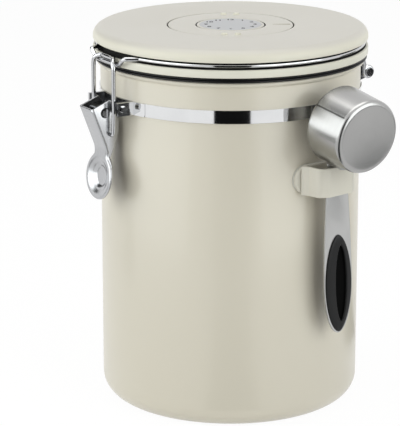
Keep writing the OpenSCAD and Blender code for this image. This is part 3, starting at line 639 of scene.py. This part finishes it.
# on the dial x runs towards the pointer and y towards the twelve
dialWay = Matrix.Rotation(dialTurn, 4, "Z")
atDial = Matrix.Translation((0, 0, dialTop)) @ dialWay
r, up, foot = dial["nubR"], dialTop + dial["nubUp"], dial["nubFoot"]
dome = ([(r + foot, dialTop - 0.3), (r + foot, dialTop), (r, dialTop + foot)]
        + arc(r - 0.5, up - 0.5, dial["nubEdge"], 0, 90, 4) + [(0, up - 0.01), (0, dialTop - 0.3)])
for end, endName in ((-1, "Front"), (1, "Back")):
    for side, sideName in ((-1, "Left"), (1, "Right")):
        spot = dialWay @ Vector((side * dial["nubSpread"], end * dial["nubPlace"], 0))
        lathe("gripNub" + endName + sideName, dome, (nubPlastic, "date_ring", "cream_plastic"),
              32, Matrix.Translation(spot))

pointer = {
    "from": ringR - 9.6, "to": ringR - 1.6, "thin": 0.2, "wide": 0.6, "round": 0.1, "high": 0.03}
thin, wide = pointer["thin"], pointer["wide"]
mark = plastic("pointerShade", (138, 128, 92), (150, 141, 106), 0.5)
slab("pointerLine", soften([(pointer[place], half, pointer["round"]) for place, half in (
    ("from", -thin), ("to", -wide), ("to", wide), ("from", thin))]), pointer["high"], atDial,
     (mark, "date_ring", "cream_plastic"), edge=0)

disc = {"rimUp": 0.1, "rimR": 0.15, "sunk": 0.4, "edge": 0.4, "headHigh": 1.2, "stemLow": 4.6}
lipR, stemSide, bend, edge = labelR + 0.05, stemR - 0.1, disc["rimR"], disc["edge"]
floorZ, headZ, stemZ = (dialTop - disc[key] for key in ("sunk", "headHigh", "stemLow"))
profile = ([(0, floorZ), (lipR, floorZ), (lipR, dialTop - disc["rimUp"])]
           + arc(lipR + bend, dialTop - bend, bend, 180, 90, 3)
           + arc(hubR - edge, dialTop - edge, edge, 90, 0, 4)
           + [(hubR, headZ), (stemSide, headZ), (stemSide, stemZ), (0, stemZ)])
hub = lathe("dialHub", profile, lidKind, 128)
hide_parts("dial_hub")
paintNode("dial_label", labelFilm)

for number in range(1, 13):
    angle = dialTurn + math.radians(90 - 30 * number)
    text = bpy.data.curves.new("figure%d" % number, "FONT")
    text.body = str(number)
    text.size = dial["numberHigh"] * mm
    text.align_x, text.align_y = "CENTER", "CENTER"
    text.extrude = dial["numberThick"] * mm
    text.offset = dial["numberBold"] * mm
    writing = put("figureText%d" % number, text)
    bpy.context.view_layer.update()
    flat = bpy.data.meshes.new_from_object(writing.evaluated_get(
        bpy.context.evaluated_depsgraph_get()))
    bpy.data.objects.remove(writing)
    spot = Vector((math.cos(angle), math.sin(angle), 0)) * dial["numberR"]
    spot.z = dialTop
    flat.transform(Matrix.Translation(spot * mm) @ dialWay)
    figure = put("dialNumber%d" % number, flat)
    flat.materials.clear()
    flat.materials.append(darkInk.data)
    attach(figure, "lid")
print("dial made")


# latch: drawn as t across, r out from the axis and z up
def atLatch(t, r, z):
    return Vector((t, -r, z))


lever = {
    "top": (76.1, 145.2), "knee": (68.5, 125.4), "tip": (71.73, 102.4), "kneeR": 9.0,
    "plateHalf": 6.0, "foldR": 0.9, "sheet": 0.8, "padHalf": 11.5, "padLong": 10.7, "padUp": 11.0,
    "flare": 1.5, "flareFrom": 14.0, "flareTo": 7.0, "dishR": 9.8, "dishShare": 0.86,
    "dishDeep": 1.15, "dimpleR": 5.7, "dimpleFloor": 4.5, "dimpleDeep": 1.0, "rows": (10, 22, 26),
    "columns": 26, "rim": (0.0, 0.012, 0.035, 0.075, 0.13)}
topPoint, knee, tip = (Vector(lever[k]) for k in ("top", "knee", "tip"))
downWay, padWay = (knee - topPoint).normalized(), (tip - knee).normalized()
kneeTurn = downWay.angle(padWay)
kneeTrim = lever["kneeR"] * math.tan(kneeTurn / 2)
straight = (knee - topPoint).length - kneeTrim
kneeLong = lever["kneeR"] * kneeTurn
leverLong = straight + kneeLong + (tip - knee).length - kneeTrim
padMid = leverLong - lever["padUp"]


def leverLine(s):
    # place and outward way in side view, s along the sheet from its top edge
    if s < straight:
        here, way = topPoint + downWay * s, downWay
    elif s < straight + kneeLong:
        t = (s - straight) / kneeLong
        here = curve(knee - downWay * kneeTrim, knee, knee + padWay * kneeTrim, t)
        way = (downWay * (1 - t) + padWay * t).normalized()
    else:
        here, way = knee + padWay * (kneeTrim + s - straight - kneeLong), padWay
    return here, Vector((-way.y, way.x))


def leverHalf(s):
    # half width: the plate, a soft flare and the round pad
    reach = (s - padMid) / lever["padLong"]
    pad = lever["padHalf"] * math.sqrt(max(0.0, 1 - reach * reach))
    plate, soft = lever["plateHalf"], lever["flare"]
    if s >= padMid or pad <= 0:
        return pad if s >= padMid else plate
    top = max(pad, plate)
    flare = soft * math.log(math.exp((pad - top) / soft) + math.exp((plate - top) / soft))
    return top + flare * step(s, padMid - lever["flareFrom"], padMid - lever["flareTo"])


def leverFace(t, s, rim):
    # the front of the sheet, behind the flat by its rolled edge and the dish
    share = math.hypot(t / lever["padHalf"], (s - padMid) / lever["padLong"])
    inPad = (1 - share) * lever["padLong"]
    inPlate = min(lever["plateHalf"] - abs(t), padMid - s)
    out = share * lever["dishR"] / lever["dishShare"]
    sink = (rolled(lever["foldR"], min(rim, max(inPad, inPlate, 0.0)))
            + lever["dishDeep"] * (1 - step(out, lever["dimpleR"], lever["dishR"]))
            + lever["dimpleDeep"] * (1 - step(out, lever["dimpleFloor"], lever["dimpleR"])))
    here, outward = leverLine(s)
    here = here - outward * sink
    return atLatch(t, here.x, here.y)


upper, middle, lower = lever["rows"]
rowPlaces = [straight * i / upper for i in range(upper)]
rowPlaces += [straight + (padMid - straight) * i / middle for i in range(middle)]
rowPlaces += [padMid + lever["padUp"] * math.sin(math.pi / 2 * i / lower) for i in range(lower)]
rows = [(s, leverHalf(s)) for s in rowPlaces] + [(leverLong, 0.02)]
rim, wide = lever["rim"], lever["columns"]
columns = ([-1 + e for e in rim]
           + [(1 - rim[-1]) * (2 * i / wide - 1) for i in range(1, wide)]
           + [1 - e for e in reversed(rim)])
points = [leverFace(half * c, s, half * (1 - abs(c))) for s, half in rows for c in columns]
leverKind = (leverSteel, "lever", "steel_sheet")
face = newObject("leverPlate", points, quads(len(columns), len(rows)), leverKind, 60.0)
facing = face.data.polygons[len(columns) // 2].normal.dot(Vector((0, -1, 0)))
thicken = face.modifiers.new("sheet", "SOLIDIFY")
thicken.thickness = lever["sheet"] * mm
thicken.offset = -1.0 if facing > 0 else 1.0
thicken.use_even_offset = False
# the back of the sheet takes the steel with painted shade
thicken.material_offset = 1
face.data.materials.append(innerSteel.data)
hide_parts("lever")

# the corners of the two side plates: (out, up, rounding), from the belly to the peak
cheek = {
    "corners": [(64.1, 128.6, 6.0), (62.4, 134.6, 4.0), (62.4, 139.2, 4.0), (63.2, 144.6, 2.0),
                (66.5, 149.0, 0.8)],
    "reach": 24.6, "chin": (0.6, 1.7, 0.3), "edge": 0.16}
outline = []
for i in range(9):
    here, outward = leverLine(cheek["reach"] * i / 8)
    outline.append((*(here - outward * lever["foldR"]), 0.0))
past, behind, chinRound = cheek["chin"]
here, outward = leverLine(cheek["reach"] + past)
outline += [(*(here - outward * behind), chinRound)] + cheek["corners"]
toCheek = Matrix(((0, 0, 1, 0), (-1, 0, 0, 0), (0, 1, 0, 0), (0, 0, 0, 1)))
for side, sideName in ((-1, "Left"), (1, "Right")):
    away = lever["plateHalf"] - lever["sheet"] if side > 0 else -lever["plateHalf"]
    plate = slab("leverCheek" + sideName, soften(outline), lever["sheet"],
                 Matrix.Translation((away, 0, 0)) @ toCheek, leverKind, edge=cheek["edge"])
    plate.data.materials.append(innerSteel.data)
    # the inner face of each cheek takes the steel with painted shade
    for part in plate.data.polygons:
        if part.normal.x * side < -0.9:
            part.material_index = 1
    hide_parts("lever")
print("lever made")

# wires: the bail over the catch, and the wire round the lid
wire = {
    "radius": 1.0, "bend": 1.7, "legHalf": 9.3, "legR": 66.68, "legFoot": 8.0,
    "eye": (67.0, 133.4), "eyeIn": 4.6, "hookR": 2.16, "catchR": 64.5, "catchZ": 165.3,
    "topHalf": 5.4, "cornerHigh": 4.4}


def mirrored(half):
    # a wire's path, from its right half
    return half + [Vector((-p.x, p.y, p.z)) for p in reversed(half[:-1])]


hookTop = wire["catchZ"] + wire["hookR"]
legHalf, legR = wire["legHalf"], wire["legR"]
legLow, legTop = wire["eye"][1] + wire["legFoot"], hookTop - wire["cornerHigh"]
rightSide = bent([(wire["eyeIn"], *wire["eye"]), (legHalf, *wire["eye"]),
                  (legHalf, legR, legLow)], wire["bend"], 8)
rightSide += [Vector((legHalf, legR, legLow + (legTop - legLow) * i / 9)) for i in range(1, 10)]
for i in range(1, 15):
    swing = math.pi / 2 * i / 14
    z = hookTop - wire["cornerHigh"] * (1 - math.sin(swing))
    t = legHalf - (legHalf - wire["topHalf"]) * (1 - math.cos(swing))
    rise = z - wire["catchZ"]
    hook = wire["catchR"] + math.sqrt(max(0.0, wire["hookR"] ** 2 - rise * rise))
    r = legR if rise <= 0 else hook
    rightSide.append(Vector((t, r, z)))
rightSide.append(Vector((0, wire["catchR"], hookTop)))
bail = tube("bailLoop", [atLatch(*p) for p in mirrored(rightSide)], wire["radius"],
            (wireSteel, "bail", "steel_wire"), 24)
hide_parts("bail_wire")

lidWire = {
    "ringR": 61.3, "ringZ": (grooveLow + grooveHigh) / 2, "ringDown": 0.1, "bend": 1.8,
    "front": 19.0, "rear": 15.0, "frontLead": 1.5, "rearLead": 3.2, "cornerT": 14.8,
    "cornerR": 64.7, "catchT": 10.6, "legR": 64.8, "legFoot": 4.0, "coilT": 10.0, "coilR": 2.275,
    "hinge": (70.5, 147.8)}
outZ = lidWire["ringZ"] - lidWire["ringDown"]


def onRing(angle, lead=0.0):
    # a place on the wire's ring, or that far past it in a straight line
    a = math.radians(angle)
    return (Vector((lidWire["ringR"] * math.cos(a), lidWire["ringR"] * math.sin(a),
                    lidWire["ringZ"]))
            + Vector((-math.sin(a), math.cos(a), 0)) * lead)


rearA, frontA = 90 - lidWire["rear"], -90 + lidWire["front"]
hingeR, hingeZ = lidWire["hinge"]
legT, coilR, coilPlace = lidWire["coilT"], lidWire["coilR"], hingeR - lidWire["coilR"]
leg = [(legT, coilPlace, hingeZ), (legT, coilPlace, hingeZ + lidWire["legFoot"]),
       (legT, lidWire["legR"], outZ), onRing(rearA, lidWire["rearLead"]), onRing(rearA)]
rim = [onRing(rearA + (frontA - rearA) * i / 44) for i in range(45)]
catch = [onRing(frontA), onRing(frontA, -lidWire["frontLead"]),
         (lidWire["cornerT"], -lidWire["cornerR"], outZ),
         (lidWire["catchT"], -wire["catchR"], wire["catchZ"]), (0, -wire["catchR"], wire["catchZ"])]
whole = mirrored(bent(leg, lidWire["bend"]) + rim[1:-1] + bent(catch, lidWire["bend"]))
ringKind = (wireSteel, "lid", "steel_wire")
lidRing = tube("lidWireRing", whole, wire["radius"], ringKind)
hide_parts("lid_wire")
for side, sideName in ((-1, "Left"), (1, "Right")):
    coil = [(side * legT, hingeR + r, hingeZ + z) for r, z in arc(0, 0, coilR, 0, 360, 32)[:-1]]
    eyeRing = tube("lidWireEye" + sideName, coil, wire["radius"], ringKind, 16, closed=True)
    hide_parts("lid_wire")

for node in ("band_screws", "band_nuts", "lever_pin", "hinge_pin"):
    paintNode(node, wireSteel)
paintNode("clamp_band", sheetSteel)
# the brackets take the darker steel with painted shade
for node in ("latch_bracket", "hinge_bracket"):
    paintNode(node, bracketSteel)
paintNode("valve_cap", baseLidPlastic)
paintNode("holder_tape", foamTape)
paintNode("valve_flap", clearSilicone)
paintNode("valve_filter", whiteFelt)
print("wires made")

# holder: a glued pad that follows the wall, and a strap that leaves a slot; the strap's
# corners are (out, across, rounding)
hold = {
    "padIn": 60.9, "padOut": 62.0, "padHalf": 16.0, "padEdge": 0.6, "edge": 0.4,
    "side": [(61.2, -13.7, 0), (62.3, -12.9, 1.8), (64.4, -11.9, 1.8), (70.4, -11.6, 6.0),
             (72.9, -6.9, 1.2)],
    "slot": [(61.2, 10.5, 0), (70.3, 10.5, 3.0), (71.8, 6.4, 1.0)]}
holderKind = (holderPlastic, "canister", "cream_plastic")
halfHigh = hang["holderHigh"] / 2


def padPoint(radius, t, z):
    a = t / radius
    return atHolder @ Vector((radius * math.cos(a), radius * math.sin(a), hang["holderZ"] + z))


def padFront(z, t, rim):
    drop = rolled(hold["padEdge"], min(rim, hold["padHalf"] - abs(t)))
    return padPoint(hold["padOut"] - drop, t, z)


def padTall(t):
    # half height of the pad, whose two ends are half circles
    past = max(0.0, abs(t) - hold["padHalf"] + halfHigh) / halfHigh
    return max(0.05, halfHigh * math.sqrt(max(0.0, 1 - past ** 2)))


padRows = [(v * hold["padHalf"], padTall(v * hold["padHalf"])) for v in crowd(40)]
padPiece = grid("holderPad", padRows, crowd(16), padFront,
                lambda z, t, rim: padPoint(hold["padIn"], t, z), holderKind)
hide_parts("scoop_holder")


def bothSides(half):
    return half + [(r, -t, rounding) for r, t, rounding in reversed(half)]


outline = soften(bothSides(hold["side"]) + bothSides(hold["slot"]))
toHolder = atHolder @ Matrix.Translation((0, 0, hang["holderZ"] - halfHigh))
strap = slab("holderStrap", outline, hang["holderHigh"], toHolder, holderKind,
             edge=hold["edge"], steps=4)
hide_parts("scoop_holder")
print("holder made")

# scoop: cup, handle with its tab, and the rubber grip in the handle's window
baseSide, baseUp = cup["baseR"] - cup["edge"], cup["deep"] - cup["edge"]
sunkZ = cup["deep"] - cup["sunk"]
profile = (arc(cup["mouthR"] - cup["lipIn"], cup["lip"], cup["lip"], 0, -180, 6)[::-1]
           + [(cup["mouthR"] + cup["lipLow"][0], cup["lipLow"][1])]
           + arc(baseSide, baseUp, cup["edge"], 0, 90, 12)
           + [(baseSide - cup["sunkIn"], sunkZ), (0, sunkZ), (0, cup["deep"] - cup["wall"])]
           + arc(baseSide, baseUp, cup["edge"] - cup["wall"], 90, 0, 8))
bowl = lathe("scoopCup", profile, (spun, "scoop", "brushed_scoop"), 160, atCup, 50.0)
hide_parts("scoop_cup")

handle = {
    "neck": 10.6, "wide": 16.0, "widestZ": 66.6, "neckZ": 120.25, "taper": 1.7, "tip": 23.6,
    "edge": 0.3, "tabLong": 10.0, "tabSeat": 0.06, "gripHalf": 23.0, "gripWide": 15.0,
    "gripPoint": 1.15, "gripSeat": 0.04, "lap": 1.3, "proud": 0.9, "crown": 3.4, "backCrown": 3.0,
    "endSlope": 0.6, "pillow": 2.2, "lensHalf": 17.8, "lensWide": 3.0, "lensDeep": 1.45,
    "lensMove": 1.1, "lensSoft": (-0.35, 0.55), "recess": (0.5, 0.74, 0.6), "recessThick": 0.12}
handleBack = hang["handleR"] - hang["handleThick"] / 2
midZ, neckZ, tipLong = handle["widestZ"], handle["neckZ"], handle["tip"]


def handleHalf(z):
    if z > midZ:
        share = min(1.0, (z - midZ) / (neckZ - midZ)) ** handle["taper"]
        return (handle["wide"] - (handle["wide"] - handle["neck"]) * share) / 2
    below = (midZ - z) / tipLong
    return handle["wide"] / 2 * math.sqrt(max(0.0, 1 - below * below))


def ovalHalf(width, length, z):
    # half width of the pointed oval of the grip
    share = min(1.0, abs(z - midZ) / length)
    return width * math.sqrt(max(0.0, 1 - share * share)) ** handle["gripPoint"]


def ovalRows(width, length, least, count):
    heights = [midZ + length * v for v in crowd(count)]
    return [(z, max(least, ovalHalf(width, length, z))) for z in heights]


levels = [holderTop + cup["rest"] + cup["tabThick"], neckZ]
levels += [neckZ + (midZ - neckZ) * i / 24 for i in range(1, 25)]
levels += [midZ - tipLong * math.sin(math.pi / 2 * i / 20) for i in range(1, 20)]
outline = ([(handleHalf(z), z) for z in levels] + [(0, midZ - tipLong)]
           + [(-handleHalf(z), z) for z in reversed(levels)])
lap = handle["lap"]
window = ovalRows(handle["gripWide"] / 2 - lap, handle["gripHalf"] - lap, 0.0, 40)
hole = [(half, z) for z, half in window] + [(-half, z) for z, half in reversed(window[1:-1])]
# the sheet's own X is sideways, its Y up and its thickness outward
toSheet = Matrix(((0, 0, 1, handleBack), (1, 0, 0, 0), (0, 1, 0, 0), (0, 0, 0, 1)))
handleKind = (brushedSteel, "scoop", "brushed_scoop")
sheet = slab("scoopHandle", outline, hang["handleThick"], atScoop @ toSheet, handleKind,
             edge=handle["edge"], holes=(hole,))
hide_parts("scoop_handle")


def tabPoint(t, x, away):
    # under the cup, following its side
    slope = (cup["mouthR"] - cup["baseR"]) / baseUp
    out = handleBack + x - mouthMid[0]
    r = cup["mouthR"] - slope * out * math.cos(tilt) + handle["tabSeat"] + away
    drop = math.sqrt(max(0.0, r * r - t * t)) / math.cos(tilt)
    return atScoop @ Vector((handleBack + x, t, mouthMid[2] - out * math.tan(tilt) - drop))


tab = grid("scoopTab", [(handle["tabLong"] * i / 8, handle["neck"] / 2) for i in range(9)],
           crowd(12), lambda t, x, rim: tabPoint(t, x, 0.0),
           lambda t, x, rim: tabPoint(t, x, cup["tabThick"]), handleKind)
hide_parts("scoop_handle")
gripFace = handleBack + hang["handleThick"] + handle["gripSeat"]


def pillow(z, rim, crown):
    # how far the grip stands out at a distance from its rim
    rim = min(rim, (handle["gripHalf"] - abs(z - midZ)) * handle["endSlope"])
    full = 1 - (1 - min(1.0, rim / crown)) ** handle["pillow"]
    return handle["proud"] * math.sqrt(max(0.0, full))


def gripFront(t, z, rim):
    lensHalf = ovalHalf(handle["lensWide"], handle["lensHalf"], z)
    inside = lensHalf - abs(t - handle["lensMove"])
    sink = handle["lensDeep"] * step(inside, *handle["lensSoft"]) if lensHalf > 0.05 else 0.0
    return atScoop @ Vector((gripFace + pillow(z, rim, handle["crown"]) - sink, t, z))


def gripBack(t, z, rim):
    rise = pillow(z, rim, handle["backCrown"])
    return atScoop @ Vector((handleBack - handle["gripSeat"] - rise, t, z))


grip = grid("gripRubber", ovalRows(handle["gripWide"] / 2, handle["gripHalf"], 0.05, 72),
            crowd(64), gripFront, gripBack, (blackRubber, "scoop", "black_rubber"), 60.0)
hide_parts("scoop_grip")


def recessFace(t, z, rim, behind=0.0):
    shallow, more, over = handle["recess"]
    deep = shallow + more * step(rim, 0.0, over) + behind
    return atScoop @ Vector((gripFace + handle["proud"] - deep, t + handle["lensMove"], z))


# the recess's floor takes the rubber with painted shade
recess = grid("gripRecess", ovalRows(handle["lensWide"], handle["lensHalf"], 0.02, 48), crowd(20),
              recessFace, lambda t, z, rim: recessFace(t, z, rim, handle["recessThick"]),
              (shadedRecessRubber, "scoop", "black_rubber"), 60.0)
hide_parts("scoop_grip")
print("scoop made")

# camera: the photograph's place, found by fitting the canister's outline
camera = {
    "turn": 59.0, "rise": 15.38, "far": 1100.0, "side": -14.02, "high": 85.85,
    "focalPixels": 2342.57, "longSide": 426.0, "sensor": 36.0}
turn, rise = math.radians(camera["turn"]), math.radians(camera["rise"])
rightWay = Vector((math.cos(turn), math.sin(turn), 0))
frontWay = Vector((math.sin(turn), -math.cos(turn), 0))
backWay = Vector((math.sin(turn) * math.cos(rise), -math.cos(turn) * math.cos(rise),
                  math.sin(rise)))
aim = rightWay * camera["side"] + Vector((0, 0, camera["high"]))
lens = bpy.data.cameras.new("photoCamera")
lens.sensor_width = camera["sensor"]
lens.lens = camera["focalPixels"] * camera["sensor"] / camera["longSide"]
lens.clip_start, lens.clip_end = 0.05, 20.0
eye = put("photoCamera", lens)
eye.location = (aim + backWay * camera["far"]) * mm
eye.rotation_mode = "QUATERNION"
eye.rotation_quaternion = (-backWay).to_track_quat("-Z", "Y")
scene.camera = eye

# studio
scene.view_settings.view_transform = "Standard"
studio = {
    "air": 0.20, "left": 8.9, "right": 6.9, "top": 4.6, "floorWhite": 0.92, "floorGlow": 1.03,
    "floorHalf": 4.0, "floorDown": 0.0002, "cardUp": 0.0012}


def turned(angle):
    # level direction, in degrees from the camera's own direction towards its right
    a = math.radians(angle)
    return frontWay * math.cos(a) + rightWay * math.sin(a)


def lamp(name, angle, far, high, wide, tall, power, colour):
    data = bpy.data.lights.new(name, "AREA")
    data.shape = "RECTANGLE"
    data.size, data.size_y, data.energy = wide, tall, power
    data.color = colour
    obj = put(name, data)
    obj.location = turned(angle) * far + Vector((0, 0, high))
    obj.rotation_mode = "QUATERNION"
    aimed = Vector((0, 0, 0.09)) - obj.location
    obj.rotation_quaternion = aimed.to_track_quat("-Z", "Y")


coolLight, warmLight = (0.965, 1.0, 0.995), (1.0, 0.985, 0.96)
lamp("softLeft", -68, 1.1, 0.50, 1.5, 1.1, studio["left"], coolLight)
lamp("softRight", 52, 1.1, 0.45, 1.2, 1.0, studio["right"], coolLight)
lamp("softTop", 180, 0.1, 1.25, 1.0, 0.8, studio["top"], warmLight)

world = Graph(bpy.data.worlds.new("studioAir"))
scene.world = world.data
dim, white = (world.node("ShaderNodeBackground", sockets={"Color": (c, c, c, 1), "Strength": 1.0})
              for c in (studio["air"], 1.0))
world.show(world.seen(), dim, white)


def flatPiece(name, corners, material):
    mesh = bpy.data.meshes.new(name)
    mesh.from_pydata(corners, [], [(0, 1, 2, 3)])
    mesh.materials.append(material.data)
    return put(name, mesh)


def greys(material, scale, first, second):
    return material.feed(Base_Color=material.blend(
        material.noise(scale), (first, first, first, 1), (second, second, second, 1)))


def card(name, corners, shade):
    # a studio card that only shows in reflections
    stuff = greys(Material(name + "Stuff", Roughness=0.9, Specular_IOR_Level=0.0), 4.0, shade,
                  shade * 0.8)
    obj = flatPiece(name, corners, stuff)
    obj.visible_camera = False
    obj.visible_shadow = False
    obj.visible_diffuse = False
    obj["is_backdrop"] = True


def standing(name, angle, far, wide, low, high, shade):
    centre = turned(angle) * far
    across = Vector((-centre.y, centre.x, 0)).normalized() * wide / 2
    card(name, [centre + across * side + Vector((0, 0, z)) for side, z in (
        (-1, low), (1, low), (1, high), (-1, high))], shade)


def lying(name, angle, near, far, spread, shade):
    # a wedge on the table from near to far, spread degrees each way
    card(name, [turned(angle + spread * side) * reach + Vector((0, 0, studio["cardUp"]))
                for side, reach in ((-1, near), (1, near), (1, far), (-1, far))], shade)


standing("cameraCard", 1.0, 1.3, 0.75, -0.1, 1.1, 0.01)
lying("cameraFloorCard", 1.0, 0.075, 1.3, 15.0, 0.01)
lying("rightFloorCard", 64.5, 0.45, 1.3, 12.5, 0.03)
lying("farRightFloorCard", 116.0, 0.12, 1.3, 12.0, 0.05)
lying("leftFloorCard", -95.0, 0.40, 1.3, 6.0, 0.03)
standing("cupCard", -126.0, 1.2, 1.3, 0.4, 1.6, 0.02)

stuff = greys(Material("paleFloor", Roughness=0.9, Specular_IOR_Level=0.1), 3.0, 0.9, 0.93)
glow = stuff.node("ShaderNodeEmission", sockets={"Strength": studio["floorGlow"]})
stuff.show(stuff.seen() * studio["floorWhite"], Value(stuff, stuff.shader.outputs[0]), glow)
reach = studio["floorHalf"]
floor = flatPiece("studioFloor", [(-reach, -reach, 0), (reach, -reach, 0), (reach, reach, 0),
                                  (-reach, reach, 0)], stuff)
floor.location.z = -studio["floorDown"]
floor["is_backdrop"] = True
print("studio made")

low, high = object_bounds()
